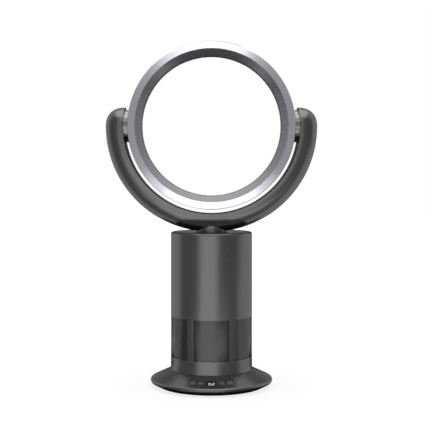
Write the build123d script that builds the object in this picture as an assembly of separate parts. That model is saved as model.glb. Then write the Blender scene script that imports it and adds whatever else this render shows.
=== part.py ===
"""Bladeless table fan, built as an assembly of separate pieces.

A hoop with an annular air slot tilts between the arms of a U-shaped yoke. The yoke swings on
a round body that holds the impeller, its motor and the swing drive, on a wide brimmed base.

Millimetres. The origin is the centre of the footprint, +Z is up and the front faces -Y.
"""
import os
from math import acos, atan2, cos, pi, radians, sin, tan

from build123d import *

os.makedirs("parts", exist_ok=True)

# ---- clearances shared by every fit ----
run_gap = 0.06       # radial clearance of a shaft or trunnion that turns in its bush
free_gap = 0.4       # between faces of pieces that move past each other
seam = 0.1           # around a fixed panel set into a rebate
plastic = 2.0        # usual wall of a moulded piece

# ---- base ----
base_radius = 97.0
body_radius = 64.8
body_bottom = 27.5       # where the brim meets the casing
rim_level = 10.2         # height of the corner in which brim and underside would meet
rim_lip = 4.86           # how far that corner lies outside the rounded rim
under_slope = 27.0       # rise of the underside to the rim, degrees
base_clearance = 1.0     # from the table to the lower edge of the base
base_wall = 2.6
plate_thickness = 2.4
plate_margin = 3.0       # ring of the base left round its plate
foot_radius = 8.0
foot_recess = 0.6
foot_count = 4
foot_margin = 5.4        # from a foot to the edge of the plate
collar_height = 10.0     # the casing slides over a collar of the base
cable_hole = 6.0
pillar_radius = 3.5
pillar_inset = 4.9       # from a screw pillar to the edge of the plate
pillar_angle = 14.0
screw_radius = 1.3       # of the hole the screw cuts its thread in
screw_head_radius = 2.9
screw_head_depth = 1.4
inlet_height = 7.0
inlet_clearance = 3.1
inlet_size = (9.4, 12.0, 6.2)
inlet_socket = (2.75, 0.8, 9.0)   # radius of the socket and of its pin, depth
main_board_height = 7.0
main_board_size = (76.0, 52.0)
board_thickness = 1.6
capacitors = ((-24, 12, 5, 10), (-11, 12, 5, 10), (24, -12, 4, 8))   # x, y, radius, height
chips = ((6, -8, 14, 14, 3), (22, 10, 18, 10, 8))                    # x, y, width, length, height

# ---- control row on the brim: its sizes follow the brim's width ----
brim_width = base_radius - body_radius
key_circle = body_radius + 0.5652 * brim_width     # horizontal radius of the row of keys
panel_inner = body_radius + 0.1925 * brim_width
panel_outer = body_radius + 0.8137 * brim_width
key_radius = 0.146 * brim_width
display_width = 0.4286 * brim_width
display_length = 0.3913 * brim_width
display_corner = 0.155 * brim_width
key_angles = {"power_key": -19.9, "speed_key": -10.9, "swing_key": 10.9, "timer_key": 19.9}
panel_half_angle = 25.5
panel_thickness = 1.8
panel_ledge = 2.0        # width of the rebate's floor under the panel's edge
key_rise = 0.35
key_travel = 0.6
key_rounding = 0.25
key_flange = 1.1         # how far the retaining flange stands out under the panel
flange_thickness = 0.7
stem_radius = 1.6
key_board_depth = 7.0    # below the brim's surface
key_board_thickness = 1.2
key_board_inset = 3.5
switch_width = 5.2
switch_height = 2.0
post_radius = 1.8
post_root = 2.0          # depth in the brim's wall from which the posts grow
post_angle = panel_half_angle + 2.8

# ---- casing ----
casing_wall = 1.8
window_count = 6
window_angle = 49.5
window_low = body_bottom + 20.7
window_high = window_low + 63.6
grille_thickness = 0.8
filter_thickness = 3.0
rim_fillet = 3.6
cap_radius = body_radius - 4.8
cap_thickness = 2.0
cap_drop = 0.5           # the cap lies a little below the rim
ledge_width = 4.0

# ---- blower, stacked upwards from the intake ----
housing_radius = body_radius - 8.8
inlet_radius = 0.75 * housing_radius
housing_low = window_high + 3.2
impeller_low = housing_low + 3.0
impeller_rise = 26.0
impeller_high = impeller_low + impeller_rise
motor_low = impeller_high + 8.0
motor_high = motor_low + 23.0
housing_high = motor_high + 3.0
shroud_curve = ((0, 0.077), (0.375, 0.46), (0.833, 0.846), (0.917, 1), (1, 1.154))
bell_radius = 9.0        # rounding of the lip below the impeller
bell_wall = 1.6
hub_low_radius = 14.0
hub_high_radius = 34.0
hub_bore_wall = 5.5
hub_skin = 3.0
blade_count = 9
blade_thickness = 1.4
blade_twist = 48.0
tip_gap = 0.8
vane_count = 11
vane_thickness = 1.6
vane_twist = -22.0
bucket_radius = 34.0
bucket_gap = 2.0         # between the impeller and the bucket's floor
bucket_bore = 8.0
motor_radius = 24.0
shaft_radius = 2.5

# ---- neck and swing drive, stacked on the blower ----
duct_top = housing_high + 21.0     # where the duct has narrowed to the neck
neck_radius = 23.6
neck_wall = 3.0
neck_low = duct_top + 13.0
collar_overlap = 4.0
bush_wall = 2.4
deck_low = neck_low + 18.0
deck_thickness = 3.0
bush_radius = neck_radius + run_gap + bush_wall
bush_top = deck_low + 9.0
bush_flange = 3.0
flange_height = 2.0
gear_module = 1.5
sector_teeth = 40        # teeth of the full circle the toothed sector is cut from
sector_cut = 7           # teeth kept on each side of the middle one
pinion_teeth = 16
gear_thickness = 6.0
pressure_angle = radians(20)
backlash = 0.16
drive_radius = 14.0
drive_rise = 19.0        # height of the gear motor
sector_pitch = gear_module * sector_teeth / 2
pinion_pitch = gear_module * pinion_teeth / 2
drive_reach = sector_pitch + pinion_pitch + 0.1
drive_ear = drive_radius + 3.5
ear_radius = 3.5
gear_low = deck_low - 0.6 - free_gap - gear_thickness
drive_top = gear_low - 1.4
addendum = 0.9 * gear_module
dedendum = 1.25 * gear_module

# ---- hoop ----
hoop_radius = 132.6                # outer edge of the bevelled front
nose_radius = hoop_radius - 11.6   # inner edge of the bevelled front
throat_radius = nose_radius - 9.8
hoop_front = 33.0                  # the nose stands this far in front of the tilt axis
hoop_rear = 32.0
bevel_depth = 4.5
trim_rounding = 1.2
trim_seat = 2.8 - hoop_front             # the inner wall meets the back of the trim here
skirt_end = bevel_depth + 3.0 - hoop_front    # and the outer wall the trim's skirt
spacer_count = 12

# ---- yoke, which stands on the body and reaches round the hoop ----
body_top = deck_low + 15.4
yoke_inner = hoop_radius + 7.4
yoke_radial = 29.0
yoke_half_depth = 29.5
yoke_fullness = 0.61     # of the section's curve; 0.55 would make it an ellipse
yoke_wall = 2.4
yoke_clearance = 0.1     # above the cap
tilt_height = body_top - cap_drop + yoke_clearance + yoke_radial + yoke_inner
cover_thickness = 2.2
lip = 1.6                # edge of the yoke shell beside its cover
cover_half = yoke_half_depth - lip
boss_radius = 26.0
trunnion_radius = 18.0
trunnion_wall = 2.5
trunnion_length = 16.0
sleeve_wall = 3.0
spot_face = 8.0          # how far the seat of the boss is cut back into the arm


def turned(*points):
    """Solid of revolution about Z from (radius, height) corners."""
    outline = Polyline(*[(r, 0, z) for r, z in points], close=True)
    return revolve(make_face(outline), Axis.Z)


def disc(radius, low, high, x=0, y=0):
    """Upright cylinder between two heights."""
    return Pos(x, y, (low + high) / 2) * Cylinder(radius, high - low)


def tube(outer, inner, low, high):
    return disc(outer, low, high) - disc(inner, low - 1, high + 1)


def across(radius, low, high):
    """Cylinder along the tilt axis, between two distances from the middle."""
    return Pos((low + high) / 2, 0, tilt_height) * Rot(0, 90, 0) * Cylinder(radius, high - low)


def mirrored(shape):
    return mirror(shape, Plane.YZ)


# ---- base ----

rim_corner = base_radius + rim_lip
slope = atan2(body_bottom - rim_level, rim_corner - body_radius)
half_wedge = (slope + radians(under_slope)) / 2
rim_nose = rim_lip * sin(half_wedge) / (1 - sin(half_wedge))


def brim_height(radius, depth=0.0):
    """Height of the brim's cone, or of the cone that lies a given depth under its surface."""
    return body_bottom - (radius - body_radius) * tan(slope) - depth / cos(slope)


def underside_radius(height):
    """Radius of the base's underside, which falls inwards from the rim."""
    return rim_corner - (brim_height(rim_corner) - height) / tan(radians(under_slope))


def brim_plane(angle, depth=0.0, radius=key_circle):
    """Plane on the brim, x along the row and z out of the surface; angle 0 is the front."""
    a = radians(angle)
    outward = Vector(sin(a), -cos(a), 0)
    normal = outward * sin(slope) + Vector(0, 0, cos(slope))
    point = outward * radius + Vector(0, 0, brim_height(radius)) - normal * depth
    return Plane(origin=point, x_dir=Vector(cos(a), sin(a), 0), z_dir=normal)


def brim_sector(inner, outer, top, bottom, half_angle):
    """Curved slab that follows the brim between two radii and two depths."""
    corners = [(inner, brim_height(inner, top)), (outer, brim_height(outer, top)),
               (outer, brim_height(outer, bottom)), (inner, brim_height(inner, bottom))]
    outline = Polyline(*[(r, 0, z) for r, z in corners], close=True)
    slab = revolve(make_face(outline), Axis.Z, 2 * half_angle)
    return Rot(0, 0, -90 - half_angle) * slab


plate_radius = underside_radius(base_clearance) - plate_margin
foot_circle = plate_radius - foot_radius - foot_margin
pillar_circle = plate_radius - pillar_radius - pillar_inset
collar_radius = body_radius - casing_wall - seam


def base_shell():
    """Brimmed cover: cone, rounded rim, tucked underside, and a collar the casing stands on."""
    top_inside = brim_height(body_radius, base_wall)
    rim_inside = rim_corner - base_wall / sin(half_wedge)
    shelf = base_clearance + plate_thickness
    outer = make_face(Polyline(
        (0, 0, body_bottom), (body_radius, 0, body_bottom),
        (rim_corner, 0, brim_height(rim_corner)),
        (underside_radius(base_clearance), 0, base_clearance), (0, 0, base_clearance), close=True))
    nose = [v for v in outer.vertices() if v.X > base_radius]
    outer = fillet(nose, rim_nose)
    hollow = make_face(Polyline(
        (0, 0, top_inside), (body_radius, 0, top_inside),
        (rim_inside, 0, brim_height(rim_corner)),
        (underside_radius(shelf) - base_wall / sin(radians(under_slope)), 0, shelf),
        (0, 0, shelf), close=True))
    corner = [v for v in hollow.vertices() if v.X > rim_inside - 1]
    hollow = fillet(corner, rim_nose - base_wall)
    shell = revolve(outer, Axis.Z) - revolve(hollow, Axis.Z)
    pillar_top = brim_height(pillar_circle + pillar_radius, base_wall / 2)
    for x, y in pillar_places():
        shell += disc(pillar_radius, shelf, pillar_top, x, y)
        shell -= disc(screw_radius, shelf - 1, pillar_top - base_wall, x, y)
    shell -= disc(plate_radius + seam, 0, shelf)
    shell += tube(collar_radius, collar_radius - plastic, body_bottom, body_bottom + collar_height)
    shell -= disc(cable_hole, top_inside - 1, body_bottom + 1)
    shell -= brim_sector(panel_inner - seam, panel_outer + seam, -1, panel_thickness,
                         panel_half_angle + 0.1)
    shell -= brim_sector(panel_inner + panel_ledge, panel_outer - panel_ledge, -1, 2 * base_wall,
                         panel_half_angle - 1.0)
    for side in (-1, 1):
        post = Cylinder(post_radius, key_board_depth - post_root)
        shell += brim_plane(side * post_angle, (key_board_depth + post_root) / 2) * post
    return shell - inlet_hole()


def inlet_hole():
    return Pos(0, base_radius, inlet_height) * Rot(90, 0, 0) * Cylinder(inlet_clearance, 24)


def power_inlet():
    """Low-voltage socket behind a hole in the back of the rim."""
    width, length, height = inlet_size
    mouth_radius, pin_radius, depth = inlet_socket
    place = Pos(0, inlet_middle(), inlet_height)
    mouth = place * Pos(0, (length - depth) / 2, 0) * Rot(90, 0, 0)
    return place * Box(width, length, height) - mouth * Cylinder(mouth_radius, depth) \
        + mouth * Cylinder(pin_radius, depth)


def inlet_middle():
    """The socket stands just inside the sloping underside."""
    wall = base_wall / sin(radians(under_slope))
    return underside_radius(inlet_height - inlet_size[2] / 2) - wall - inlet_size[1] / 2


def base_plate():
    """Flat floor of the base with standoffs for the main board and recesses for the feet."""
    top = base_clearance + plate_thickness
    plate = disc(plate_radius, base_clearance, top)
    for x, y in board_corners():
        plate += disc(pillar_radius, top, main_board_height, x, y)
    for x, y in pillar_places():
        plate -= disc(screw_radius + free_gap, 0, top + 1, x, y)
        plate -= disc(screw_head_radius, 0, base_clearance + screw_head_depth, x, y)
    for x, y in foot_places():
        plate -= disc(foot_radius + seam, 0, base_clearance + foot_recess, x, y)
    width, length, height = inlet_size
    rise = inlet_height - height / 2 - top
    plate += Pos(0, inlet_middle() - length / 8, top + rise / 2) * Box(width, length * 3 / 4, rise)
    return plate


def board_corners():
    x, y = main_board_size[0] / 2 - 5, main_board_size[1] / 2 - 5
    return [(-x, -y), (x, -y), (x, y), (-x, y)]


def pillar_places():
    """Screw pillars of the base, two on each side, clear of the keys and the power inlet."""
    return [(side * pillar_circle * cos(radians(a)), pillar_circle * sin(radians(a)))
            for side in (-1, 1) for a in (-pillar_angle, pillar_angle)]


def foot_places():
    step = 2 * pi / foot_count
    return [(foot_circle * cos(step * (i + 0.5)), foot_circle * sin(step * (i + 0.5)))
            for i in range(foot_count)]


def rubber_feet():
    feet = []
    for x, y in foot_places():
        pad = disc(foot_radius, 0, base_clearance + foot_recess, x, y)
        feet.append(chamfer(pad.edges().group_by(Axis.Z)[0], 0.5))
    return Compound(children=feet)


def main_board():
    """Power and motor control board with its larger components."""
    width, length = main_board_size
    top = main_board_height + board_thickness
    board = Pos(0, 0, top - board_thickness / 2) * Box(width, length, board_thickness)
    for x, y, radius, height in capacitors:
        board += disc(radius, top, top + height, x, y)
    for x, y, width, length, height in chips:
        board += Pos(x, y, top + height / 2) * Box(width, length, height)
    return board


# ---- control row ----

def key_hole(angle, radius, top, bottom):
    """Round cutter through the brim at one key, between two depths."""
    plane = brim_plane(angle, (top + bottom) / 2)
    return plane * Cylinder(radius, bottom - top)


def display_block(width, length, corner, top, bottom):
    """Rounded block set square to the brim at the front."""
    face = brim_plane(0, bottom) * RectangleRounded(width, length, corner)
    return extrude(face, bottom - top)


def control_panel():
    """Inlaid strip of the brim, pierced for the keys and the display."""
    panel = brim_sector(panel_inner, panel_outer, 0, panel_thickness, panel_half_angle)
    for angle in key_angles.values():
        panel -= key_hole(angle, key_radius + free_gap, -2, panel_thickness + 2)
    panel -= display_block(display_width + 2 * seam, display_length + 2 * seam, display_corner + seam,
                           -2, panel_thickness + 2)
    return panel


def control_key(angle):
    """Round key: a cap, a flange that holds it under the panel, and a stem above its switch."""
    flange_top = panel_thickness + 0.15
    flange_bottom = flange_top + flange_thickness
    stem_end = key_board_depth - switch_height - key_travel - 0.3
    cap = key_hole(angle, key_radius, -key_rise, flange_top)
    cap = fillet(cap.faces().sort_by(Axis.Z)[-1].edges(), key_rounding)
    cap += key_hole(angle, key_radius + key_flange, flange_top, flange_bottom)
    return cap + key_hole(angle, stem_radius, flange_bottom, stem_end)


def key_switches():
    """Small square press switch on the key board under each key."""
    middle = key_board_depth - switch_height / 2
    return Compound(children=[brim_plane(angle, middle) * Box(switch_width, switch_width, switch_height)
                              for angle in key_angles.values()])


def display_lens():
    """Dark window over the digits, flush with the panel."""
    return display_block(display_width, display_length, display_corner, 0.05, panel_thickness + 0.2)


def display_module():
    """Two-digit light display that stands on the key board under its window."""
    return display_block(display_width - 1.2, display_length - 1.6, 0.6, panel_thickness + 0.2,
                         key_board_depth)


def key_board():
    """Curved carrier with the flexible key circuit, held at its ends by posts of the base."""
    return brim_sector(panel_inner + key_board_inset, panel_outer - key_board_inset, key_board_depth,
                       key_board_depth + key_board_thickness, post_angle + 1.6)


# ---- body ----

def body_casing():
    """Round casing with six intake windows, a rolled top rim and two inner ledges."""
    inside = body_radius - casing_wall
    skin = disc(body_radius, body_bottom, body_top)
    skin = fillet(skin.edges().group_by(Axis.Z)[-1], rim_fillet)
    ledge_top = body_top - cap_drop - cap_thickness
    skin -= disc(inside, body_bottom - 1, ledge_top - 2 * casing_wall)
    skin -= disc(cap_radius - ledge_width, body_bottom - 1, body_top + 1)
    skin -= disc(cap_radius + seam, ledge_top, body_top + 1)
    skin += tube(inside + 0.1, inside - ledge_width, housing_low - plastic, housing_low)
    for i in range(window_count):
        cutter = tube(body_radius + 1, inside - 0.5, window_low, window_high)
        skin -= cutter & wedge(window_angle, -90 + i * 360 / window_count)
    return skin


def wedge(angle, middle):
    """Upright slice of a circle, used to pick out part of a turn."""
    reach = 2 * body_radius
    a = radians(angle / 2)
    tri = Polyline((0, 0), (reach * cos(a), -reach * sin(a)), (reach * cos(a), reach * sin(a)),
                   close=True)
    return Rot(0, 0, middle) * extrude(make_face(tri), body_top)


def sleeve(outer, thickness):
    """Sleeve inside the casing, from the base's collar to the ledge under the blower."""
    return tube(outer, outer - thickness, body_bottom + collar_height, housing_low - plastic)


def intake_grille():
    """Perforated sleeve behind the windows, shown plain here."""
    return sleeve(body_radius - casing_wall - seam, grille_thickness)


def dust_filter():
    """Foam sleeve behind the perforated one, which keeps the windows dark."""
    return sleeve(body_radius - casing_wall - grille_thickness - 3 * seam, filter_thickness)


def top_cap():
    """Disc that closes the body round the neck."""
    top = body_top - cap_drop
    cap = tube(cap_radius, neck_radius + free_gap, top - cap_thickness, top)
    return fillet(cap.edges().group_by(Axis.Z)[-1].sort_by(SortBy.RADIUS)[-1], 0.6)


# ---- blower ----

def shroud(offset):
    """Radius and height pairs of the wall round the impeller, moved out by an offset."""
    widening = housing_radius - plastic - inlet_radius
    return [(inlet_radius + share * widening + offset, impeller_low + rise * impeller_rise)
            for share, rise in shroud_curve]


def impeller_housing():
    """Flange on the casing's ledge, a flared shroud round the impeller, a straight wall above."""
    inner = [(inlet_radius, housing_low), *shroud(0), (housing_radius - plastic, housing_high)]
    outer = [(inlet_radius + plastic, housing_low), *shroud(plastic), (housing_radius, housing_high)]
    flange = tube(body_radius - casing_wall - seam, inlet_radius + plastic / 2,
                  housing_low, housing_low + plastic)
    return turned(*inner, *reversed(outer)) + flange


def intake_bellmouth():
    """Rounded lip that leads air into the impeller, fixed under the housing's flange."""
    centre = Pos(inlet_radius + bell_radius, housing_low)
    rim = centre * (Circle(bell_radius) - Circle(bell_radius - bell_wall))
    rim &= centre * Pos(-bell_radius / 2, -bell_radius / 2) * Rectangle(bell_radius, bell_radius)
    return revolve(Plane.XZ * rim, Axis.Z)


def passage():
    """Space between the impeller's hub and the shroud, less the gap at the blades' tips."""
    return turned((hub_low_radius - hub_skin, impeller_low), (inlet_radius - tip_gap, impeller_low),
                  *shroud(-tip_gap)[:-1], (hub_high_radius - hub_skin, impeller_high),
                  (hub_low_radius - hub_skin, impeller_low + 0.3 * impeller_rise))


def twisted_blade(low, high, twist, thickness, reach):
    """Radial blade that turns by the twist between two heights."""
    steps = 3
    sections = []
    for i in range(steps + 1):
        z = low + (high - low) * i / steps
        turn = Rot(0, 0, twist * i / steps)
        sections.append(Pos(0, 0, z) * turn * Pos(reach / 2, 0) * Rectangle(reach, thickness))
    return loft(sections, ruled=True)


def impeller():
    """Mixed-flow impeller: a conical hub with twisted blades that widen towards the top."""
    bore = shaft_radius + run_gap / 6
    core = bore + hub_bore_wall
    waist = impeller_low + 0.6 * impeller_rise
    hub = turned((bore, impeller_low), (hub_low_radius - 4, impeller_low),
                 (hub_low_radius, impeller_low + 4), (hub_low_radius + 3 * hub_skin, waist),
                 (hub_high_radius, impeller_high), (hub_high_radius - 2, impeller_high),
                 (hub_low_radius + 2 * hub_skin, waist), (core, impeller_low + 12),
                 (core, impeller_high - 4), (bore, impeller_high - 4))
    blade = twisted_blade(impeller_low, impeller_high, blade_twist, blade_thickness,
                          housing_radius + 4) & passage()
    for i in range(blade_count):
        hub += Rot(0, 0, i * 360 / blade_count) * blade
    return hub


def motor_bucket():
    """Cup that carries the motor in the middle of the air path, held by twisted guide vanes."""
    low = impeller_high + bucket_gap
    vane_low, vane_high = low + 2 * plastic, housing_high - 3 * plastic
    cup = disc(bucket_radius, low, housing_high)
    cup -= disc(bucket_radius - plastic, low + plastic, housing_high + 1)
    cup -= disc(bucket_bore, low - 1, low + plastic + 1)
    vane = twisted_blade(vane_low, vane_high, vane_twist, vane_thickness, housing_radius + 4)
    vane &= tube(housing_radius - plastic, bucket_radius - 1, vane_low, vane_high)
    for i in range(vane_count):
        cup += Rot(0, 0, i * 360 / vane_count) * vane
    return cup


def motor_mount():
    """Rubber cradle between the motor and its bucket."""
    low = impeller_high + bucket_gap + plastic
    ring = tube(bucket_radius - plastic, motor_radius, low, motor_low + 8)
    floor = tube(motor_radius + 0.5, bucket_bore + 0.5, low, motor_low)
    return ring + floor


def blower_motor():
    """Motor can with end boss and a bore for its shaft."""
    can = disc(motor_radius, motor_low, motor_high)
    can = fillet(can.edges().group_by(Axis.Z)[-1], 1.5)
    can += disc(bucket_bore - 1, motor_low - 3, motor_low)
    return can - disc(shaft_radius + run_gap, motor_low - 4, motor_high - 4)


def motor_shaft():
    return disc(shaft_radius, impeller_low - 3, motor_high - 5)


def bucket_lid():
    """Tapered tail that closes the bucket and smooths the flow into the duct."""
    low, tail, skin = housing_high, 20, 2.4
    outside = ((0, low), (bucket_radius, low), (bucket_radius - 3, low + 0.35 * tail),
               (0.59 * bucket_radius, low + 0.75 * tail), (0, low + tail))
    inside = ((0, low - 1), (bucket_radius - skin, low - 1), (bucket_radius - 2 * skin, low + 0.3 * tail),
              (0.59 * bucket_radius - 2, low + 0.66 * tail), (0, low + 0.9 * tail))
    return turned(*outside) - turned(*inside)


def air_duct():
    """Reducer from the blower housing to the neck, with a collar round the neck's lower end."""
    wide = housing_radius - plastic
    narrow = neck_radius + free_gap
    top = neck_low + collar_overlap
    rise = duct_top - housing_high
    inner = [(wide, housing_high), (wide - 1.5, housing_high + 0.2 * rise),
             (narrow + 0.6 * (wide - narrow), housing_high + 0.62 * rise), (narrow, duct_top),
             (narrow, top)]
    outer = [(r + plastic, z + (0.6 * plastic if 0 < i < len(inner) - 1 else 0))
             for i, (r, z) in enumerate(inner)]
    return turned(*inner, *reversed(outer))


# ---- neck and swing drive ----

def swivel_deck():
    """Deck under the cap: hung from the casing's ledge, it carries the bush and the drive."""
    rim = body_radius - casing_wall - seam
    underside = body_top - cap_drop - cap_thickness - 2 * casing_wall
    deck = tube(rim, bush_radius, deck_low, deck_low + deck_thickness)
    deck += tube(rim, rim - plastic, deck_low, underside)
    deck += tube(bush_radius + bush_flange, bush_radius, deck_low, bush_top - flange_height)
    deck -= disc(shaft_radius + 1.5, deck_low - 1, deck_low + deck_thickness + 1, 0, drive_reach)
    for x in (-drive_ear, drive_ear):
        deck += disc(ear_radius - 0.5, drive_top, deck_low, x, drive_reach)
    return deck


def neck_bush():
    """Flanged plastic bush the neck turns in."""
    inner = neck_radius + run_gap
    bush = tube(bush_radius, inner, deck_low - 0.6, bush_top)
    return bush + tube(bush_radius + bush_flange, inner, bush_top - flange_height, bush_top)


def neck_tube():
    """Hollow neck: a flange on the bush below, the yoke's shell around its upper end."""
    inner = neck_radius - neck_wall
    top = tilt_height - yoke_inner - cover_thickness - 1
    flange = tube(bush_radius + bush_flange, inner, bush_top + run_gap, bush_top + flange_height + run_gap)
    neck = tube(neck_radius, inner, neck_low, top) + flange
    return neck - yoke_cavity()


def tooth(teeth, low):
    """One involute tooth pointing along +X, rooted a little inside the root circle."""
    pitch = gear_module * teeth / 2
    root, tip = pitch - dedendum, pitch + addendum
    base = pitch * cos(pressure_angle)

    def half_angle(radius):
        roll = acos(min(1.0, base / max(radius, base)))
        spread = tan(pressure_angle) - pressure_angle - (tan(roll) - roll)
        return pi / (2 * teeth) - backlash / (2 * pitch) + spread

    start = max(base, root)
    radii = [root - 0.5, start, (start + pitch) / 2, (pitch + tip) / 2, tip]
    flank = [(r * cos(half_angle(r)), r * sin(half_angle(r))) for r in radii]
    outline = flank + [(x, -y) for x, y in reversed(flank)]
    return Pos(0, 0, low) * extrude(make_face(Polyline(*outline, close=True)), gear_thickness)


def swing_sector():
    """Toothed ring on the neck; only the part that meets the pinion has teeth."""
    ring = tube(sector_pitch - dedendum, neck_radius, gear_low, gear_low + gear_thickness)
    one = tooth(sector_teeth, gear_low)
    for i in range(-sector_cut, sector_cut + 1):
        ring += Rot(0, 0, 90 + i * 360 / sector_teeth) * one
    return ring


def swing_pinion():
    """Pinion of the swing drive, with one gap facing the toothed ring."""
    gear = disc(pinion_pitch - dedendum, gear_low, gear_low + gear_thickness)
    one = tooth(pinion_teeth, gear_low)
    for i in range(pinion_teeth):
        gear += Rot(0, 0, -90 + (i + 0.5) * 360 / pinion_teeth) * one
    gear += disc(shaft_radius, drive_top - 8, gear_low + gear_thickness + flange_height)
    return Pos(0, drive_reach, 0) * gear


def swing_motor():
    """Flat gear motor hung under the deck by two ears."""
    body = disc(drive_radius, drive_top - drive_rise, drive_top)
    body += Pos(0, 0, drive_top - 0.5) * Box(2 * drive_ear, 2 * ear_radius, 1)
    for x in (-drive_ear, drive_ear):
        body += disc(ear_radius, drive_top - 1, drive_top, x)
    body -= disc(shaft_radius + run_gap, drive_top - 9, drive_top + 1)
    return Pos(0, drive_reach, 0) * body


# ---- yoke ----

def half_turn(half_section):
    """Sweep a half section, and its mirror image, half a turn under the tilt axis."""
    section = half_section + mirror(half_section, Plane.XZ)
    return Pos(0, 0, tilt_height) * revolve(section, Axis.Y, 180)


def arm_ends(half_section):
    """The same half section turned over the tilt axis, at both arms."""
    end = revolve(half_section, Axis.X, 180)
    return Pos(0, 0, tilt_height) * (end + mirrored(end))


def d_section(radial, half_depth):
    """Half of the yoke's D-shaped section: a curve a little fuller than a quarter ellipse."""
    curve = Bezier((yoke_inner + radial, 0), (yoke_inner + radial, yoke_fullness * half_depth),
                   (yoke_inner + yoke_fullness * radial, half_depth), (yoke_inner, half_depth))
    sides = Polyline((yoke_inner, half_depth), (yoke_inner, 0), (yoke_inner + radial, 0))
    return make_face(curve + sides)


def band_section(half_width, thickness):
    return Pos(yoke_inner + thickness / 2, half_width / 2) * Rectangle(thickness, half_width)


def cheek(radius):
    """Disc at the inner side of the right arm, hollowed to the circle of the yoke's inner face."""
    barrel = Pos(0, 0, tilt_height) * Rot(90, 0, 0) * Cylinder(yoke_inner, 4 * yoke_half_depth)
    return across(radius, yoke_inner - spot_face, yoke_inner) - barrel


def yoke_form():
    half = d_section(yoke_radial, yoke_half_depth)
    side = cheek(yoke_half_depth)
    return half_turn(half) + arm_ends(half) + side + mirrored(side)


def yoke_cavity():
    half = d_section(yoke_radial - yoke_wall, yoke_half_depth - yoke_wall)
    return half_turn(half) + arm_ends(half)


def yoke_shell():
    """Hollow U of D section, open along its inner face and pierced for the neck."""
    rebate = band_section(cover_half, cover_thickness)
    shell = yoke_form() - yoke_cavity() - half_turn(rebate) - arm_ends(rebate)
    seat = across(cover_half, yoke_inner - spot_face - 1, yoke_inner)
    shell = shell - seat - mirrored(seat)
    return shell - disc(neck_radius, body_top - 5, tilt_height - yoke_inner - 5)


def yoke_cover():
    """Curved strip that closes the yoke between its two trunnion plates."""
    strip = half_turn(band_section(cover_half - seam, cover_thickness - seam))
    cutter = across(cover_half, yoke_inner - spot_face, yoke_inner + spot_face)
    return strip - cutter - mirrored(cutter)


def trunnion_plate():
    """Flat seat for the boss at one arm, with the sleeve the hollow trunnion turns in."""
    face = yoke_inner
    back = yoke_inner + cover_thickness - 0.2
    plate = across(cover_half - seam, yoke_inner - spot_face, back) & yoke_form()
    plate -= across(boss_radius + free_gap, yoke_inner - spot_face - 1, face)
    sleeve_end = face + trunnion_length - 1
    plate += across(trunnion_radius + run_gap + sleeve_wall, back - 0.5, sleeve_end)
    return plate - across(trunnion_radius + run_gap, yoke_inner - spot_face - 1, sleeve_end + 1)


# ---- hoop ----

def hoop_turned(face):
    return Pos(0, 0, tilt_height) * revolve(face, Axis.Y)


flare = (nose_radius - throat_radius - 1.0) / (hoop_front + 2.0)


def outer_line(offset):
    """Curve of the hoop's outer wall from the trim to the lip of the slot."""
    r = hoop_radius
    return Spline((r - offset, skirt_end), (r - 0.9 - offset, 4),
                  (r - 6.0 - offset, 24), (r - 11.8, hoop_rear - offset),
                  (throat_radius + 3.4 + offset, 28.5 - offset / 2), (throat_radius + 1.4, 20.5),
                  tangents=[(0, 1), (-0.25, -1)])


def outer_wall():
    return hoop_turned(trace(outer_line(plastic / 2), plastic))


def hoop_shell():
    """Outer and rear wall of the hoop, curled round to the lip of the air slot."""
    duct = across(trunnion_radius - trunnion_wall, 60, yoke_inner)
    return outer_wall() - duct - mirrored(duct)


def hoop_inner_wall():
    """Flared inner wall: narrowest at the throat, curled outwards behind the slot's lip."""
    front = nose_radius - flare * (hoop_front + trim_seat) + plastic / 2
    throat = throat_radius + plastic / 2
    line = Spline((front, trim_seat), (front + flare * (trim_seat + 3), -3), (throat, 10),
                  (throat + 1.4, 16.5), (throat + 4.0, 21.8), tangents=[(-flare, 1), (0.75, 0.65)])
    wall = trace(line, plastic) - Pos(front, trim_seat - 1) * Rectangle(4 * plastic, 2)
    wall = hoop_turned(wall)
    spacer = slot_spacer()
    for i in range(spacer_count):
        wall += Pos(0, 0, tilt_height) * Rot(0, (i + 0.5) * 360 / spacer_count, 0) * spacer
    return wall


def slot_spacer():
    """Small block that keeps the slot open between the inner wall and the shell's lip."""
    block = Pos(throat_radius + 3.0, 21.7, 0) * Box(2.4, 1.8, 2.0)
    lip_line = revolve(trace(outer_line(plastic / 2), plastic), Axis.Y, 4)
    return block - Rot(0, -2, 0) * lip_line - Rot(0, 2, 0) * lip_line


def hoop_trim():
    """Bevelled front ring that joins the inner and outer walls."""
    outer, inner = hoop_radius, nose_radius
    face = make_face(Polyline(
        (inner, -hoop_front), (outer, -hoop_front + bevel_depth), (outer, skirt_end),
        (outer - plastic, skirt_end), (outer - plastic, skirt_end - 1.6),
        (inner + plastic + 0.2, trim_seat), (inner - flare * (hoop_front + trim_seat), trim_seat),
        close=True))
    outside = [v for v in face.vertices() if abs(v.Y + hoop_front - bevel_depth) < 0.01]
    return hoop_turned(fillet(outside, trim_rounding))


def hoop_boss():
    """Hollow trunnion at one side of the hoop, with the wide boss that bridges the gap."""
    boss = across(boss_radius, hoop_radius - 8, yoke_inner - free_gap) - outer_wall() - hoop_trim()
    boss = boss.solids().sort_by(Axis.X)[-1]
    boss += across(trunnion_radius, yoke_inner - 2, yoke_inner + trunnion_length)
    return boss - across(trunnion_radius - trunnion_wall, 100, 200)


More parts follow.
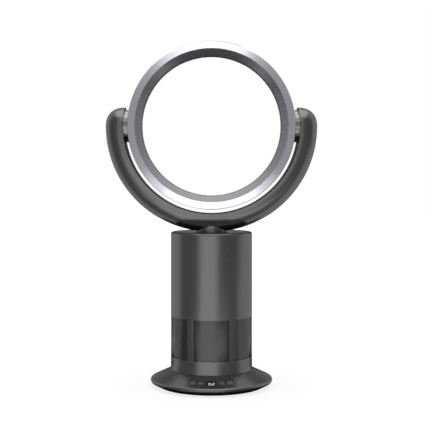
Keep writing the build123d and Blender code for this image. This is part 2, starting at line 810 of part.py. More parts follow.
nodes = {
    "base_shell": base_shell,
    "base_plate": base_plate,
    "rubber_feet": rubber_feet,
    "power_inlet": power_inlet,
    "main_board": main_board,
    "control_panel": control_panel,
    "display_lens": display_lens,
    "display_module": display_module,
    "key_switches": key_switches,
    "key_board": key_board,
    "body_casing": body_casing,
    "intake_grille": intake_grille,
    "dust_filter": dust_filter,
    "top_cap": top_cap,
    "impeller_housing": impeller_housing,
    "intake_bellmouth": intake_bellmouth,
    "impeller": impeller,
    "motor_bucket": motor_bucket,
    "motor_mount": motor_mount,
    "blower_motor": blower_motor,
    "motor_shaft": motor_shaft,
    "bucket_lid": bucket_lid,
    "air_duct": air_duct,
    "swivel_deck": swivel_deck,
    "neck_bush": neck_bush,
    "neck_tube": neck_tube,
    "swing_sector": swing_sector,
    "swing_pinion": swing_pinion,
    "swing_motor": swing_motor,
    "yoke_shell": yoke_shell,
    "yoke_cover": yoke_cover,
    "hoop_shell": hoop_shell,
    "hoop_inner_wall": hoop_inner_wall,
    "hoop_trim": hoop_trim,
}
for name, angle in key_angles.items():
    export_step(control_key(angle), f"parts/{name}.step")
for name, build in nodes.items():
    export_step(build(), f"parts/{name}.step")
for part, build in (("trunnion_plate", trunnion_plate), ("hoop_boss", hoop_boss)):
    right = build()
    export_step(right, f"parts/right_{part}.step")
    export_step(mirrored(right), f"parts/left_{part}.step")
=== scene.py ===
import math

import bmesh
import bpy
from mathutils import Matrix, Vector


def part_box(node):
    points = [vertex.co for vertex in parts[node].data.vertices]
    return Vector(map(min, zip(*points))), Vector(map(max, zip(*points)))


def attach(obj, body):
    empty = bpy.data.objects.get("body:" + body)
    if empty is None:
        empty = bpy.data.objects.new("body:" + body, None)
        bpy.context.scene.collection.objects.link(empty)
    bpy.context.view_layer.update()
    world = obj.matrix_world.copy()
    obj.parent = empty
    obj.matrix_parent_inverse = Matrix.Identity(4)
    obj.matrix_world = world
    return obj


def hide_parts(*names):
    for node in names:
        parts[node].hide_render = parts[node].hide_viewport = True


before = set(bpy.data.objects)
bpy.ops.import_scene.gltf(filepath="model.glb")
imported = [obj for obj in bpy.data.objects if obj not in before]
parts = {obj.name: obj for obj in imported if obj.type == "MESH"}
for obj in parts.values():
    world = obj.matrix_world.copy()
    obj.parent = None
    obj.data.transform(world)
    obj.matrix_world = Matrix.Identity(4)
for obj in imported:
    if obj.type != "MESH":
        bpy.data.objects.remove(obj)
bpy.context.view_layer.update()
print("frame loaded with", len(parts), "parts")

mm = 0.001


# shader helpers

class Wire:  # an output socket that takes part in plain sums
    def __init__(self, paint, socket):
        self.paint = paint
        self.socket = socket

    def maths(self, operation, first, second):
        return self.paint.node("Math", {"operation": operation}, {0: first, 1: second})

    def __add__(self, other):
        return self.maths("ADD", self, other)

    def __radd__(self, other):
        return self.maths("ADD", other, self)

    def __sub__(self, other):
        return self.maths("SUBTRACT", self, other)

    def __rsub__(self, other):
        return self.maths("SUBTRACT", other, self)

    def __mul__(self, other):
        return self.maths("MULTIPLY", self, other)

    def __rmul__(self, other):
        return self.maths("MULTIPLY", other, self)

    def __pow__(self, other):
        return self.maths("POWER", self, other)

    def __rpow__(self, other):
        return self.maths("POWER", other, self)

    def __gt__(self, other):
        return self.maths("GREATER_THAN", self, other)

    def __lt__(self, other):
        return self.maths("LESS_THAN", self, other)


class Paint:  # a material or the world, whose nodes all come from the node method
    def __init__(self, owner, uniform=None):
        owner.use_nodes = True
        self.owner = owner
        self.tree = owner.node_tree
        self.shader = self.tree.nodes.get("Principled BSDF")
        for label, value in (uniform or {}).items():
            self.shader.inputs[label].default_value = value

    def node(self, kind, settings=None, sockets=None, output=0):
        made = self.tree.nodes.new("ShaderNode" + kind)
        for key, value in (settings or {}).items():
            setattr(made, key, value)
        for key, value in (sockets or {}).items():
            self.feed(made.inputs[key], value)
        return Wire(self, made.outputs[output])

    def feed(self, socket, value):
        if isinstance(value, Wire):
            self.tree.links.new(value.socket, socket)
        else:
            socket.default_value = value

    def into(self, label, value):
        self.feed(self.shader.inputs[label], value)

    def place(self):  # the point on the piece, in metres, which moves with it
        return self.node("TexCoord", output=3)

    def noise(self, size, detail=2.0, stretch=(1, 1, 1)):  # size is the width of a spot in metres
        where = self.node("VectorMath", {"operation": "MULTIPLY"}, {0: self.place(), 1: stretch})
        return self.node("TexNoise", {}, {"Vector": where, "Scale": 1 / size, "Detail": detail})

    def mix(self, share, first, second):
        return self.node("Mix", {"data_type": "RGBA"}, {0: share, 6: first, 7: second}, 2)

    def relief(self, height, depth):  # depth is the height of the bumps in metres
        return self.node("Bump", {}, {"Strength": 1.0, "Distance": depth, "Height": height})

    def glow(self, strength):
        return self.node("Emission", {}, {"Color": grey(1), "Strength": strength})

    def show(self, surface):  # another surface in place of the plain shader
        self.feed(self.tree.nodes["Material Output"].inputs["Surface"], surface)


def grey(level):
    return (level, level, level, 1)


# finishes

noiseMiddle = 0.5  # a noise texture's values lie round this
mottle = {"driftDetail": 1.0, "grainDetail": 3.0, "driftShare": 0.6}  # the grain has the rest of the tone
brushing = {
    "lineDetail": 3.0, "lineShare": 0.5, "roughSpread": 0.25,
    "stainDetail": 2.0, "stainSize": 12 * mm,
}
circuit = {
    "mask": (0.012, 0.09, 0.03, 1), "laminate": (0.02, 0.13, 0.05, 1), "copper": (0.03, 0.19, 0.07, 1),
    "trackScale": 160.0, "trackWander": 5.0, "trackFrom": 0.72, "trackHeight": 0.03 * mm,
    "blotchSize": 4 * mm, "speckSize": 0.8 * mm, "roughness": 0.38, "roughSpread": 0.12,
}


def paintedFinish(name, look):
    paint = Paint(bpy.data.materials.new(name), look["uniform"])
    drift = paint.noise(look["driftSize"], mottle["driftDetail"])
    grain = paint.noise(look["grainSize"], mottle["grainDetail"])
    share = drift * mottle["driftShare"] + grain * (1 - mottle["driftShare"])
    paint.into("Base Color", paint.mix(share, look["darkTone"], look["lightTone"]))
    paint.into("Roughness", look["roughness"] + (grain - noiseMiddle) * look["roughSpread"])
    paint.into("Normal", paint.relief(grain, look["grainDepth"]))
    return paint.owner


def brushedMetal(name, look):
    paint = Paint(bpy.data.materials.new(name), {"Metallic": 1.0})
    lines = paint.noise(look["lineSize"], brushing["lineDetail"], look["stretch"])
    stain = paint.noise(brushing["stainSize"], brushing["stainDetail"])
    share = lines * brushing["lineShare"] + stain * (1 - brushing["lineShare"])
    paint.into("Base Color", paint.mix(share, look["darkTone"], look["lightTone"]))
    paint.into("Roughness", look["roughness"] + (lines - noiseMiddle) * brushing["roughSpread"])
    paint.into("Normal", paint.relief(lines, look["lineDepth"]))
    return paint.owner


def circuitBoard(name):
    paint = Paint(bpy.data.materials.new(name), {"Metallic": 0.0, "Coat Weight": 0.4})
    wave = paint.node("TexWave", {"bands_direction": "DIAGONAL"}, {
        "Vector": paint.place(), "Scale": circuit["trackScale"], "Distortion": circuit["trackWander"],
        "Detail": 0.0})
    track = wave > circuit["trackFrom"]
    mottled = paint.mix(paint.noise(circuit["blotchSize"]), circuit["mask"], circuit["laminate"])
    specks = paint.noise(circuit["speckSize"])
    paint.into("Base Color", paint.mix(track, mottled, circuit["copper"]))
    paint.into("Roughness", circuit["roughness"] + specks * circuit["roughSpread"])
    paint.into("Normal", paint.relief(track, circuit["trackHeight"]))
    return paint.owner


finishes = {
    "gunmetal": paintedFinish("gunmetalPaint", {
        "uniform": {"Metallic": 0.9, "Specular Tint": grey(0.7)},
        "darkTone": grey(0.112), "lightTone": grey(0.13), "roughness": 0.27, "roughSpread": 0.06,
        "driftSize": 50 * mm, "grainSize": 0.5 * mm, "grainDepth": 0.001 * mm}),
    "coverGrey": paintedFinish("coverSatin", {
        "uniform": {"Metallic": 0.9},
        "darkTone": grey(0.27), "lightTone": grey(0.31), "roughness": 0.3, "roughSpread": 0.06,
        "driftSize": 40 * mm, "grainSize": 0.5 * mm, "grainDepth": 0.001 * mm}),
    "darkCover": paintedFinish("darkCover", {
        "uniform": {"Metallic": 0.0},
        "darkTone": grey(0.022), "lightTone": grey(0.034), "roughness": 0.55, "roughSpread": 0.2,
        "driftSize": 30 * mm, "grainSize": 0.6 * mm, "grainDepth": 0.03 * mm}),
    # control panel: partly its own dark gloss, partly painted reflection, darkened to stand in for the
    # body's dark reflection on the brim
    "panelDarkAndPaintedReflection": paintedFinish("panelGlossAndPaintedReflection", {
        "uniform": {"Metallic": 0.7, "Coat Weight": 0.3, "Coat Roughness": 0.08},
        "darkTone": grey(0.07), "lightTone": grey(0.082), "roughness": 0.24, "roughSpread": 0.06,
        "driftSize": 30 * mm, "grainSize": 1.2 * mm, "grainDepth": 0.001 * mm}),
    "keyGrey": paintedFinish("keyGloss", {
        "uniform": {"Metallic": 0.7, "Coat Weight": 0.3, "Coat Roughness": 0.12},
        "darkTone": grey(0.085), "lightTone": grey(0.1), "roughness": 0.3, "roughSpread": 0.08,
        "driftSize": 10 * mm, "grainSize": 0.8 * mm, "grainDepth": 0.001 * mm}),
    "lensBlack": paintedFinish("lensGloss", {
        "uniform": {"Metallic": 0.0, "Specular IOR Level": 0.15},
        "darkTone": grey(0.003), "lightTone": grey(0.005), "roughness": 0.1, "roughSpread": 0.03,
        "driftSize": 10 * mm, "grainSize": 2 * mm, "grainDepth": 0.001 * mm}),
    "grilleDark": paintedFinish("grillePaint", {
        "uniform": {"Metallic": 0.9, "Specular Tint": grey(0.7)},
        "darkTone": grey(0.077), "lightTone": grey(0.093), "roughness": 0.18, "roughSpread": 0.05,
        "driftSize": 30 * mm, "grainSize": 0.4 * mm, "grainDepth": 0.003 * mm}),
    "silver": paintedFinish("satinSilver", {
        "uniform": {"Metallic": 1.0},
        "darkTone": (0.705, 0.695, 0.755, 1), "lightTone": (0.785, 0.775, 0.835, 1),
        "roughness": 0.24, "roughSpread": 0.06,
        "driftSize": 60 * mm, "grainSize": 0.4 * mm, "grainDepth": 0.002 * mm}),
    "bossGloss": paintedFinish("bossGloss", {
        "uniform": {"Metallic": 1.0, "Coat Weight": 0.2, "Coat Roughness": 0.05},
        "darkTone": grey(0.155), "lightTone": grey(0.185), "roughness": 0.2, "roughSpread": 0.04,
        "driftSize": 30 * mm, "grainSize": 0.6 * mm, "grainDepth": 0.001 * mm}),
    "innerPlastic": paintedFinish("innerPlastic", {
        "uniform": {"Metallic": 0.0},
        "darkTone": grey(0.03), "lightTone": grey(0.042), "roughness": 0.5, "roughSpread": 0.16,
        "driftSize": 30 * mm, "grainSize": 0.7 * mm, "grainDepth": 0.02 * mm}),
    "innerPale": paintedFinish("acetalPale", {
        "uniform": {"Metallic": 0.0, "Subsurface Weight": 0.1, "Subsurface Scale": 2 * mm},
        "darkTone": (0.62, 0.61, 0.57, 1), "lightTone": (0.74, 0.73, 0.69, 1),
        "roughness": 0.38, "roughSpread": 0.1,
        "driftSize": 10 * mm, "grainSize": 0.8 * mm, "grainDepth": 0.006 * mm}),
    "impellerGrey": paintedFinish("glassFilledGrey", {
        "uniform": {"Metallic": 0.0},
        "darkTone": (0.16, 0.17, 0.185, 1), "lightTone": (0.22, 0.23, 0.25, 1),
        "roughness": 0.42, "roughSpread": 0.2,
        "driftSize": 8 * mm, "grainSize": 0.9 * mm, "grainDepth": 0.012 * mm}),
    "rubber": paintedFinish("mattRubber", {
        "uniform": {"Metallic": 0.0, "Specular IOR Level": 0.3},
        "darkTone": grey(0.012), "lightTone": grey(0.02), "roughness": 0.8, "roughSpread": 0.2,
        "driftSize": 6 * mm, "grainSize": 0.5 * mm, "grainDepth": 0.05 * mm}),
    "filterFoam": paintedFinish("openFoam", {
        "uniform": {"Metallic": 0.0, "Specular IOR Level": 0.2},
        "darkTone": grey(0.003), "lightTone": grey(0.016), "roughness": 0.85, "roughSpread": 0.2,
        "driftSize": 4 * mm, "grainSize": 0.9 * mm, "grainDepth": 0.4 * mm}),
    "switchBlack": paintedFinish("switchBlack", {
        "uniform": {"Metallic": 0.0},
        "darkTone": grey(0.016), "lightTone": grey(0.026), "roughness": 0.45, "roughSpread": 0.15,
        "driftSize": 6 * mm, "grainSize": 0.4 * mm, "grainDepth": 0.015 * mm}),
    "steel": brushedMetal("groundSteel", {
        "darkTone": grey(0.48), "lightTone": grey(0.62), "roughness": 0.26,
        "lineSize": 4 * mm, "stretch": (2, 2, 60), "lineDepth": 0.002 * mm}),
    "motorCan": brushedMetal("zincCan", {
        "darkTone": (0.36, 0.36, 0.35, 1), "lightTone": (0.5, 0.5, 0.49, 1), "roughness": 0.4,
        "lineSize": 6 * mm, "stretch": (1, 1, 14), "lineDepth": 0.006 * mm}),
    "boardGreen": circuitBoard("boardGreen"),
}
print("finishes made:", len(finishes))

wears = {  # finish of each part kept from the frame
    "gunmetal": ["base_shell", "body_casing", "top_cap", "neck_tube", "yoke_shell"],
    "coverGrey": ["yoke_cover"],
    "silver": ["hoop_shell", "hoop_trim", "hoop_inner_wall"],
    "bossGloss": ["left_hoop_boss", "right_hoop_boss"],
    "darkCover": ["base_plate", "left_trunnion_plate", "right_trunnion_plate"],
    "panelDarkAndPaintedReflection": ["control_panel"],
    "keyGrey": ["power_key", "speed_key", "swing_key", "timer_key"],
    "lensBlack": ["display_lens"],
    "innerPlastic": ["impeller_housing", "intake_bellmouth", "motor_bucket", "bucket_lid", "air_duct",
                     "swivel_deck"],
    "innerPale": ["neck_bush", "swing_pinion", "swing_sector"],
    "impellerGrey": ["impeller"],
    "filterFoam": ["dust_filter"],
    "rubber": ["rubber_feet", "motor_mount"],
    "switchBlack": ["power_inlet", "display_module", "key_switches"],
    "steel": ["motor_shaft"],
    "motorCan": ["blower_motor", "swing_motor"],
    "boardGreen": ["main_board", "key_board"],
}
for finish, names in wears.items():
    for name in names:
        mesh = parts[name].data
        mesh.materials.clear()
        mesh.materials.append(finishes[finish])


def newPiece(name, mesh, finish, body):
    piece = bpy.data.objects.new(name, mesh)
    bpy.context.scene.collection.objects.link(piece)
    mesh.materials.append(finish)
    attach(piece, body)
    return piece


def skin(bm, first, second):  # faces between two loops of points
    for side in range(len(first)):
        after = (side + 1) % len(first)
        bm.faces.new([first[side], first[after], second[after], second[side]])


def meshFrom(bm, name):
    mesh = bpy.data.meshes.new(name)
    bm.to_mesh(mesh)
    bm.free()
    return mesh


# perforated intake sheet, a sleeve with round holes in staggered rows behind the windows

low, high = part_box("intake_grille")  # the plain sleeve that the sheet stands for
grille = {
    "outerRadius": high.x, "bottom": low.z, "top": high.z, "sheet": 0.8 * mm,
    "windows": 6, "columnsPerWindow": 41,
    "openColumns": 16,  # how many each side of a window's middle have holes
    "rows": 39, "firstRow": 49.3 * mm,
    "holeRadius": 0.72 * mm, "holeSides": 8,  # a multiple of 4
    "crease": 0.5,  # edges bent by more than this, in radians, stay sharp
}


def perforatedSleeve():
    radius, bottom, top = grille["outerRadius"], grille["bottom"], grille["top"]
    perWindow, rows = grille["columnsPerWindow"], grille["rows"]
    hole, sides = grille["holeRadius"], grille["holeSides"]
    columns = grille["windows"] * perWindow
    step = math.tau * radius / columns
    bm = bmesh.new()
    points = {}

    def onSleeve(across, height):
        angle = -math.pi / 2 + across / radius
        return (radius * math.cos(angle), radius * math.sin(angle), height)

    def point(column, height):  # neighbouring faces share it
        key = (column % columns, height)
        if key not in points:
            points[key] = bm.verts.new(onSleeve(column * step, height))
        return points[key]

    def rowHeight(row):
        return grille["firstRow"] + row * step

    def corner(column, row):
        return point(column, rowHeight(row))

    for row in range(rows):
        for column in range(columns):
            if (row + column) % 2:
                continue
            diamond = [corner(column + 1, row), corner(column, row + 1), corner(column - 1, row),
                       corner(column, row - 1)]
            nearest = round(column / perWindow) * perWindow
            if abs(column - nearest) > grille["openColumns"]:
                bm.faces.new(diamond)
                continue
            rim = []
            for side in range(sides):
                turn = math.tau * side / sides
                rim.append(bm.verts.new(onSleeve(column * step + hole * math.cos(turn),
                                                 rowHeight(row) + hole * math.sin(turn))))
            for quarter in range(4):  # one face between each side of the diamond and the hole
                start = quarter * sides // 4
                bend = [rim[(start + k) % sides] for k in range(sides // 4 + 1)]
                bm.faces.new([diamond[quarter], diamond[(quarter + 1) % 4]] + bend[::-1])
    last = rows - 1
    for column in range(0, columns, 2):  # plain bands below and above the holes
        bm.faces.new([point(column, bottom), point(column + 1, bottom),
                      corner(column + 1, 0), corner(column, -1)])
        bm.faces.new([point(column - 1, bottom), point(column, bottom),
                      corner(column, -1), corner(column - 1, 0)])
        peak = column if (last + column) % 2 == 0 else column + 1
        bm.faces.new([corner(peak, last + 1), corner(peak + 1, last),
                      point(peak + 1, top), point(peak, top)])
        bm.faces.new([corner(peak - 1, last), corner(peak, last + 1),
                      point(peak, top), point(peak - 1, top)])
    bmesh.ops.recalc_face_normals(bm, faces=bm.faces)
    bmesh.ops.solidify(bm, geom=bm.faces, thickness=grille["sheet"])
    for edge in bm.edges:
        edge.smooth = edge.calc_face_angle(0.0) < grille["crease"]
    for face in bm.faces:
        face.smooth = True
    return meshFrom(bm, "perforatedSleeve")


sleeve = newPiece("perforated_intake_sheet", perforatedSleeve(), finishes["grilleDark"],
                  "base")
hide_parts("intake_grille")
print("intake sheet:", len(sleeve.data.polygons), "faces")


# marks on the brim: lit digits under the window and pale icons on the keys

marks = {
    "slope": math.radians(25.0),  # of the brim, which falls outwards
    "ring": 83 * mm,  # how far out the middles of the marks lie
    "lift": 0.03 * mm, "sink": 0.12 * mm,  # how far a mark stands out, and how far it reaches in
    "clear": 30 * mm,  # how far off the brim the search for its surface starts
}
digits = {
    "text": "02", "width": 4.2 * mm, "height": 6.0 * mm, "gap": 1.2 * mm, "drop": 0.5 * mm,
    "barWidth": 0.95 * mm, "barGap": 0.12, "tipWidth": 0.1,  # the last two as shares of the bar's width
    "glow": 0.42, "dimTone": (0.70, 0.74, 0.78, 1), "brightTone": (0.92, 0.94, 0.96, 1),
    "spotSize": 1.2 * mm, "roughness": 0.3,
}
icons = {
    "angles": {"power_key": -19.9, "speed_key": -10.9, "swing_key": 10.9, "timer_key": 19.9},
    "line": 0.42 * mm, "ringLine": 0.3 * mm, "ringRadius": 4.05 * mm, "ringSteps": 48,
    "waveWidth": 4.8 * mm, "waveRise": 0.42 * mm, "waveApart": 1.3 * mm, "waveSteps": 16,
    "darkTone": grey(0.26), "lightTone": grey(0.34), "spotSize": 0.4 * mm,
    "roughness": 0.45, "roughSpread": 0.15,
}


def glowFinish():
    paint = Paint(bpy.data.materials.new("digitGlow"), {
        "Roughness": digits["roughness"], "Emission Strength": digits["glow"]})
    glow = paint.mix(paint.noise(digits["spotSize"]), digits["dimTone"], digits["brightTone"])
    paint.into("Emission Color", glow)
    paint.into("Base Color", glow)
    return paint.owner


def inkFinish():
    paint = Paint(bpy.data.materials.new("iconInk"), {"Metallic": 0.0})
    spots = paint.noise(icons["spotSize"])
    paint.into("Base Color", paint.mix(spots, icons["darkTone"], icons["lightTone"]))
    paint.into("Roughness", icons["roughness"] + spots * icons["roughSpread"])
    return paint.owner


def strip(path, width, closed=False):  # the two edges of a line of even width, as rungs of a ladder
    rungs = []
    count = len(path)
    for i, point in enumerate(path):
        before = path[i - 1] if i or closed else point
        after = path[(i + 1) % count] if i < count - 1 or closed else point
        along = (Vector(after) - Vector(before)).normalized()
        side = Vector((-along.y, along.x)) * width / 2
        rungs.append((Vector(point) + side, Vector(point) - side))
    return rungs, closed


def arc(radius, start, end, count, centre=(0, 0)):
    turns = [math.radians(start + (end - start) * i / count) for i in range(count + 1)]
    return [(centre[0] + radius * math.cos(t), centre[1] + radius * math.sin(t)) for t in turns]


def ringPath(radius, count):
    return arc(radius, 0, 360, count)[:-1]


def lay(name, strips, angle, carrier, finish, body):
    turn = math.radians(angle)
    outward = Vector((math.sin(turn), -math.cos(turn), 0))
    along = Vector((math.cos(turn), math.sin(turn), 0))
    slope = marks["slope"]
    upSlope = -outward * math.cos(slope) + Vector((0, 0, math.sin(slope)))
    normal = outward * math.sin(slope) + Vector((0, 0, math.cos(slope)))
    low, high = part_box(carrier)
    centre = outward * marks["ring"] + Vector((0, 0, (low.z + high.z) / 2))
    host = parts[carrier]

    def seat(point, depth):
        start = centre + along * point.x + upSlope * point.y + normal * marks["clear"]
        hit, where = host.ray_cast(start, -normal)[:2]
        if not hit:
            raise ValueError(name + " reaches past " + carrier)
        return where + normal * depth

    bm = bmesh.new()
    for rungs, closed in strips:
        rows = []
        for left, right in rungs:
            places = [(left, marks["lift"]), (right, marks["lift"]),
                      (right, -marks["sink"]), (left, -marks["sink"])]
            rows.append([bm.verts.new(seat(point, depth)) for point, depth in places])
        pairs = list(zip(rows, rows[1:]))
        if closed:
            pairs.append((rows[-1], rows[0]))
        else:
            bm.faces.new(rows[0])
            bm.faces.new(rows[-1][::-1])
        for first, second in pairs:
            skin(bm, first, second)
    bmesh.ops.recalc_face_normals(bm, faces=bm.faces)
    newPiece(name, meshFrom(bm, name), finish, body)


barEnds = {  # two ends of each bar, in halves of the digit's width and height from its middle
    "a": ((-1, 1), (1, 1)), "b": ((1, 0), (1, 1)), "c": ((1, -1), (1, 0)), "d": ((-1, -1), (1, -1)),
    "e": ((-1, -1), (-1, 0)), "f": ((-1, 0), (-1, 1)), "g": ((-1, 0), (1, 0)),
}
litBars = {"0": "abcdef", "2": "abged"}


def digitStrips():
    width, height, bar = digits["width"], digits["height"], digits["barWidth"]
    halfWide, halfHigh = (width - bar) / 2, (height - bar) / 2
    inner = bar * digits["barGap"]
    tip = digits["tipWidth"]
    pitch = width + digits["gap"]
    strips = []
    for place, digit in enumerate(digits["text"]):
        shift = Vector(((place - (len(digits["text"]) - 1) / 2) * pitch, -digits["drop"]))
        for letter in litBars[digit]:
            first, second = (Vector((x * halfWide, y * halfHigh)) + shift for x, y in barEnds[letter])
            along = (second - first).normalized()
            side = Vector((-along.y, along.x)) * bar / 2
            first, second = first + along * inner, second - along * inner
            steps = [(first, tip), (first + along * bar / 2, 1),
                     (second - along * bar / 2, 1), (second, tip)]
            rungs = [(point + side * share, point - side * share) for point, share in steps]
            strips.append((rungs, False))
    return strips


def waveStrip(shift):
    width, steps = icons["waveWidth"], icons["waveSteps"]
    path = [(-width / 2 + width * i / steps, icons["waveRise"] * math.sin(math.tau * i / steps) + shift)
            for i in range(steps + 1)]
    return strip(path, icons["line"])


lay("display_digits", digitStrips(), 0, "display_lens", glowFinish(), "base")

line = icons["line"]
drawings = {
    "power_key": [strip(arc(2.0 * mm, 125, 415, 24), line), strip([(0, 0.7 * mm), (0, 2.7 * mm)], line)],
    "speed_key": [waveStrip(shift) for shift in (-icons["waveApart"], 0, icons["waveApart"])],
    "swing_key": [strip(arc(2.5 * mm, 205, 335, 18, (0, 1.2 * mm)), line),
                  strip([(-2.9 * mm, -1.1 * mm), (-2.35 * mm, 0.35 * mm), (-1.2 * mm, -0.6 * mm)], line),
                  strip([(2.9 * mm, -1.1 * mm), (2.35 * mm, 0.35 * mm), (1.2 * mm, -0.6 * mm)], line)],
    "timer_key": [strip(ringPath(2.2 * mm, 36), line, True),
                  strip([(0, 1.3 * mm), (0, 0), (1.0 * mm, -0.6 * mm)], line)],
}
ink = inkFinish()
for key, strips in drawings.items():
    outline = strip(ringPath(icons["ringRadius"], icons["ringSteps"]), icons["ringLine"], True)
    lay(key.replace("_key", "_icon"), strips + [outline], icons["angles"][key], key, ink, key)
print("digits and icons laid")


# four pan head screws that hold the floor of the base to the pillars

screws = {
    "circle": 72.4 * mm, "angles": (14, 166, 194, 346),
    "face": 1.2 * mm, "seat": 2.4 * mm, "tip": 14 * mm,  # heights of the head's two sides and of the point
    "headRadius": 2.6 * mm, "rounding": 0.5 * mm, "bulge": 0.3,  # the smaller, the fuller the rounding
    "coreRadius": 1.0 * mm, "threadRadius": 1.28 * mm, "pitch": 1.0 * mm,
    "threadShare": 0.5,  # of the pitch, at the foot of the thread
    "pointShare": 0.3, "pointTurns": 2,  # width left at the point, and turns that add a whole width
    "crossWidth": 0.7 * mm, "crossLength": 2.6 * mm, "crossDepth": 0.7 * mm,
    "crossFloor": 0.8,  # size of the cross's floor against its mouth
    "sides": 24, "stepsPerTurn": 8,
}


def screwRing(bm, x, y, z, radiusAt):
    turns = [math.tau * side / screws["sides"] for side in range(screws["sides"])]
    return [bm.verts.new((x + radiusAt(t) * math.cos(t), y + radiusAt(t) * math.sin(t), z)) for t in turns]


def addScrew(bm, x, y):
    head, rounding = screws["headRadius"], screws["rounding"]
    face, seat, pitch = screws["face"], screws["seat"], screws["pitch"]
    core, thread = screws["coreRadius"], screws["threadRadius"]
    bulge = rounding * screws["bulge"]
    rings = [screwRing(bm, x, y, face, lambda t: head - rounding),
             screwRing(bm, x, y, face + bulge, lambda t: head - bulge),
             screwRing(bm, x, y, face + rounding, lambda t: head),
             screwRing(bm, x, y, seat, lambda t: head)]
    steps = screws["stepsPerTurn"]
    count = round((screws["tip"] - seat) / pitch * steps)
    for i in range(count + 1):
        taper = min(1.0, (count - i) / (screws["pointTurns"] * steps) + screws["pointShare"])

        def threaded(t, turn=i / steps, taper=taper):
            across = (turn - t / math.tau) % 1.0
            crest = max(0.0, 1 - abs(across - 0.5) * 2 / screws["threadShare"])
            return taper * (core + (thread - core) * crest)

        rings.append(screwRing(bm, x, y, seat + i * pitch / steps, threaded))
    for first, second in zip(rings, rings[1:]):
        skin(bm, first, second)
    bm.faces.new(rings[-1])
    half, arm, depth = screws["crossWidth"] / 2, screws["crossLength"] / 2, screws["crossDepth"]
    cross = [(arm, half), (half, half), (half, arm)]
    cross += [(-b, a) for a, b in cross]
    cross += [(-a, -b) for a, b in cross]
    inside = screws["crossFloor"]
    mouth = [bm.verts.new((x + a, y + b, face)) for a, b in cross]
    floor = [bm.verts.new((x + a * inside, y + b * inside, face + depth)) for a, b in cross]
    skin(bm, mouth, floor)
    bm.faces.new(floor)
    rim = [bm.edges.get(pair) for loop in (rings[0], mouth) for pair in zip(loop, loop[1:] + loop[:1])]
    bmesh.ops.triangle_fill(bm, use_beauty=True, edges=rim)


def screwSet():
    bm = bmesh.new()
    for angle in screws["angles"]:
        turn = math.radians(angle)
        addScrew(bm, screws["circle"] * math.cos(turn), screws["circle"] * math.sin(turn))
    bmesh.ops.recalc_face_normals(bm, faces=bm.faces)
    return meshFrom(bm, "panScrews")


fixings = newPiece("base_screws", screwSet(), finishes["steel"], "base")
print("base screws:", len(fixings.data.polygons), "faces")


# studio: pale floor, soft lamps, and cards that only show in reflections

studio = {
    "white": 1.0, "fill": 0.4,  # what the world shows, and what it lights the fan with
    "floor": {
        "size": 12, "tone": 0.9, "roughness": 0.9,
        "white": 1.15,  # how bright it looks by itself
        "shade": 0.3,  # share of true light, with its shadow, beside the base
        "shadeSpan": (0.12, 0.5),  # metres from the middle over which that share falls to nothing
        "glossSpan": (0.09, 0.14),  # metres over which the light that it gives to reflections rises
        "frontTone": 1.5, "sideTone": 0.33, "backTone": 1.0,  # of that light, by direction
        "sideFrom": (18, 32), "sideTo": (76, 92),  # degrees from the front where the sides begin and end
        "turned": 10,  # degrees by which all this is turned to the left
    },
    "cards": {  # centre, width, height, turns about X and Z, tones at the foot and head
        "card_left": ((-1.46, -0.65, 0.9), 1.85, 2.6, 0, -66, (0.33, 0.33)),
        "card_right": ((1.33, -0.89, 0.9), 1.92, 2.6, 0, 56, (0.33, 0.33)),
        "card_front": ((-0.1, -1.52, 0.66), 1.2, 0.7, 0, 0, (0.75, 0.75)),
        "card_front_strip": ((0, -1.45, 1.05), 1.0, 0.12, 0, 0, (0.3, 0.3)),
        "card_above": ((0, 0.12, 0.66), 0.22, 0.36, 90, 0, (0.1, 0.1)),
        "card_back": ((0, 0.85, 0.6), 1.28, 1.2, 0, 0, (0.03, 1.8)),
        "card_floor_front": ((0, -0.465, 0.003), 0.62, 0.31, 90, 0, (1.8, 1.8)),
        "card_floor_wide": ((0, -0.465, 0.002), 1.1, 0.31, 90, 0, (0.85, 0.85)),
        "card_low_left": ((-0.25, 0.42, 0.14), 0.2, 0.28, 0, 0, (0.42, 0.42)),
        "card_low_right": ((0.25, 0.42, 0.14), 0.2, 0.28, 0, 0, (0.42, 0.42)),
        "card_floor_back": ((0, 0.645, 0.002), 0.78, 0.41, 90, 0, (0.05, 0.05)),
        "card_floor_behind": ((0, 0.27, 0.002), 0.44, 0.34, 90, 0, (0.05, 0.05)),
        "card_behind_cap": ((0, 0.22, 0.257), 0.24, 0.024, 0, 0, (0.75, 0.75)),
    },
    "cardCurve": 4,  # power of the height by which a card goes over to the tone at its head
    "shadowCard": "card_above",  # the one card that also holds back light
    "lamps": {  # place, aimed at, width, height, radiance
        "front_softbox": ((-0.1, -1.5, 0.16), (-0.1, 0, 0.16), 1.2, 0.3, 0.4),
        "top_softbox": ((0, -1.16, 1.66), (0, 0, 0.414), 1.04, 1.2, 0.5),
        "overhead_softbox": ((0, -0.05, 1.5), (0, -0.05, 0), 1.6, 1.2, 1.8),
    },
}
rays = {"camera": 0, "gloss": 3, "glass": 6}  # outputs of Light Path


def makeWorld():
    world = bpy.data.worlds.new("studio")
    bpy.context.scene.world = world
    paint = Paint(world)
    seen = paint.node("LightPath", output=rays["camera"])
    for ray in ("gloss", "glass"):
        other = paint.node("LightPath", output=rays[ray])
        seen = paint.node("Math", {"operation": "MAXIMUM"}, {0: seen, 1: other})
    back = paint.tree.nodes["Background"]
    paint.feed(back.inputs["Color"], grey(1))
    paint.feed(back.inputs["Strength"], seen * (studio["white"] - studio["fill"]) + studio["fill"])


def flatPanel(name, width, height, material):
    bm = bmesh.new()
    corners = [(-width / 2, 0, -height / 2), (width / 2, 0, -height / 2), (width / 2, 0, height / 2),
               (-width / 2, 0, height / 2)]
    bm.faces.new([bm.verts.new(c) for c in corners])
    mesh = meshFrom(bm, name)
    mesh.materials.append(material)
    panel = bpy.data.objects.new(name, mesh)
    bpy.context.scene.collection.objects.link(panel)
    return panel


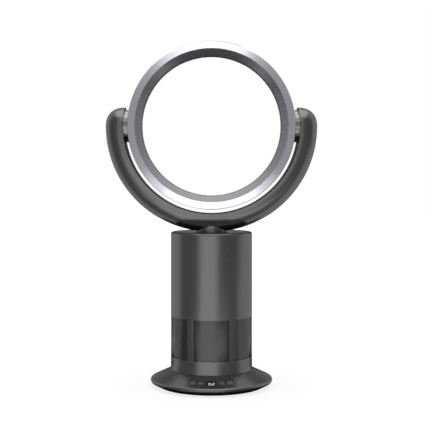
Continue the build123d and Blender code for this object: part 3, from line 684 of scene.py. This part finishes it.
def rampOver(paint, value, span):  # 0 up to the start of the span, 1 from its end on
    return paint.node("MapRange", {"interpolation_type": "SMOOTHSTEP"}, {0: value, 1: span[0], 2: span[1]})


def rampOverAngle(paint, value, span):
    return rampOver(paint, value, [math.radians(a) for a in span])


def makeFloor():
    look = studio["floor"]
    paint = Paint(bpy.data.materials.new("paleFloor"), {
        "Base Color": grey(look["tone"]), "Roughness": look["roughness"], "Specular IOR Level": 0.0})
    spot = paint.place()
    distance = paint.node("VectorMath", {"operation": "LENGTH"}, {0: spot}, 1)
    along = paint.node("SeparateXYZ", {}, {0: spot}, 0)
    depth = paint.node("SeparateXYZ", {}, {0: spot}, 2)  # the panel's own Z points to the front
    heading = paint.node("Math", {"operation": "ARCTAN2"}, {0: along, 1: depth})
    azimuth = paint.node("Math", {"operation": "ABSOLUTE"}, {0: heading + math.radians(look["turned"])})
    dark, light, white = (paint.glow(level) for level in (0.0, look["frontTone"], look["white"]))
    camera = paint.node("LightPath", output=rays["camera"])
    gloss = paint.node("LightPath", output=rays["gloss"])
    own = rampOver(paint, distance, look["shadeSpan"]) * look["shade"] + (1 - look["shade"])
    lit = Wire(paint, paint.shader.outputs[0])
    shaded = paint.node("MixShader", {}, {0: camera * own, 1: lit, 2: white})
    side = rampOverAngle(paint, azimuth, look["sideFrom"])
    back = rampOverAngle(paint, azimuth, look["sideTo"])
    tone = ((1 - side) * look["frontTone"] + side * look["sideTone"]
            + back * (look["backTone"] - look["sideTone"]))
    level = rampOver(paint, distance, look["glossSpan"]) * tone * (1 / look["frontTone"])
    mirrored = paint.node("MixShader", {}, {0: level, 1: dark, 2: light})
    paint.show(paint.node("MixShader", {}, {0: gloss, 1: shaded, 2: mirrored}))
    floor = flatPanel("studio_floor", look["size"], look["size"], paint.owner)
    floor.rotation_euler = (math.pi / 2, 0, 0)


def makeCards():
    for name, (centre, width, height, lean, turn, tones) in studio["cards"].items():
        paint = Paint(bpy.data.materials.new(name))
        foot, head = (paint.glow(tone) for tone in tones)
        across = paint.node("TexCoord", output=0)
        level = paint.node("SeparateXYZ", {}, {0: across}, 2)  # 0 at the foot, 1 at the head
        paint.show(paint.node("MixShader", {}, {0: level ** studio["cardCurve"], 1: foot, 2: head}))
        card = flatPanel(name, width, height, paint.owner)
        card.location = centre
        card.rotation_euler = (math.radians(lean), 0, math.radians(turn))
        card.visible_camera = False
        card.visible_diffuse = False
        card.visible_shadow = name == studio["shadowCard"]


def makeLamps():
    for name, (place, aim, width, height, radiance) in studio["lamps"].items():
        data = bpy.data.lights.new(name, "AREA")
        data.shape = "RECTANGLE"
        data.size = width
        data.size_y = height
        data.energy = radiance * math.pi * width * height
        lamp = bpy.data.objects.new(name, data)
        bpy.context.scene.collection.objects.link(lamp)
        lamp.location = place
        lamp.rotation_euler = (Vector(aim) - Vector(place)).to_track_quat("-Z", "Y").to_euler()
        lamp.visible_camera = False


makeWorld()
makeFloor()
makeCards()
makeLamps()
print("studio set")


# camera, at the photograph's place: no tilt, the frame moved down and to the right by shift alone

view = {
    "frame": 430, "focal": 1010, "centreColumn": 211.5, "horizonRow": 172.0,  # pixels of the photograph
    "distance": 1.616, "height": 0.3405, "reach": 30,  # metres
    "sensor": 36,  # millimetres
}
lens = bpy.data.cameras.new("camera")
camera = bpy.data.objects.new("camera", lens)
bpy.context.scene.collection.objects.link(camera)
camera.location = (0, -view["distance"], view["height"])
camera.rotation_euler = (math.pi / 2, 0, 0)
lens.sensor_width = view["sensor"]
lens.lens = view["sensor"] * view["focal"] / view["frame"]
lens.shift_x = (view["frame"] / 2 - view["centreColumn"]) / view["frame"]
lens.shift_y = (view["horizonRow"] - view["frame"] / 2) / view["frame"]
lens.clip_end = view["reach"]
bpy.context.scene.camera = camera
bpy.context.scene.view_settings.view_transform = "Standard"

print("camera and sizes done")
